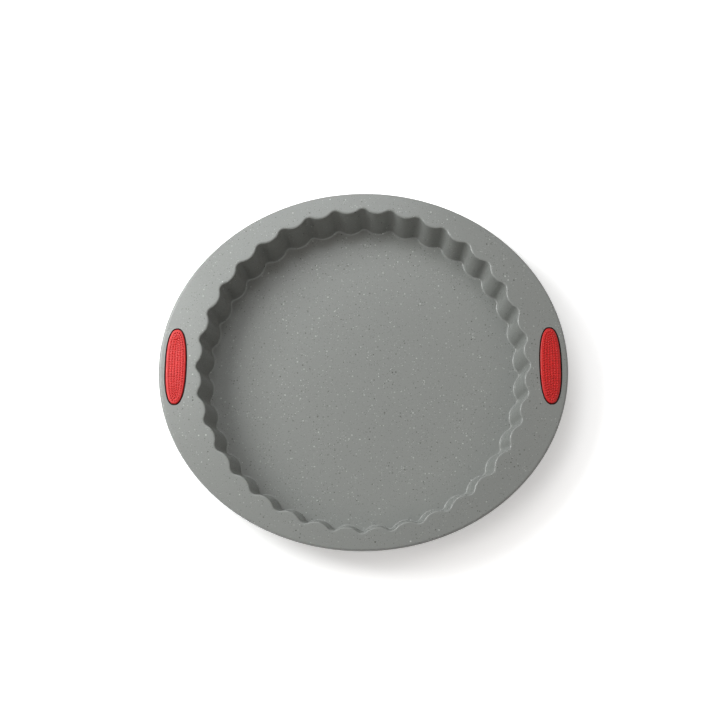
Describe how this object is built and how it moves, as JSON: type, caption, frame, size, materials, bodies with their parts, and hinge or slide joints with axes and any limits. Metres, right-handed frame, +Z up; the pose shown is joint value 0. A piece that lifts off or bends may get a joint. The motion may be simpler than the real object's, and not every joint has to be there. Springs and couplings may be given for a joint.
{
  "type": "silicone tart mould",
  "caption": "Round fluted tart mould in speckled grey silicone, with a wide oval rim whose ends form handles inlaid with red oval grips.",
  "frame": {"origin": "centre of the base, on the surface that the mould stands on", "axes": "+Z up, out of the open side; +X along the longer axis of the oval rim, towards the right grip"},
  "size_m": [0.3208, 0.2874, 0.037],
  "materials": {
    "grey_silicone": "satin",
    "red_silicone": "satin",
    "steel_wire": "satin"
  },
  "bodies": {
    "root": {"mould_body": "grey_silicone", "rim_hoop": "steel_wire", "left_grip": "red_silicone", "right_grip": "red_silicone"}
  },
  "joints": []
}
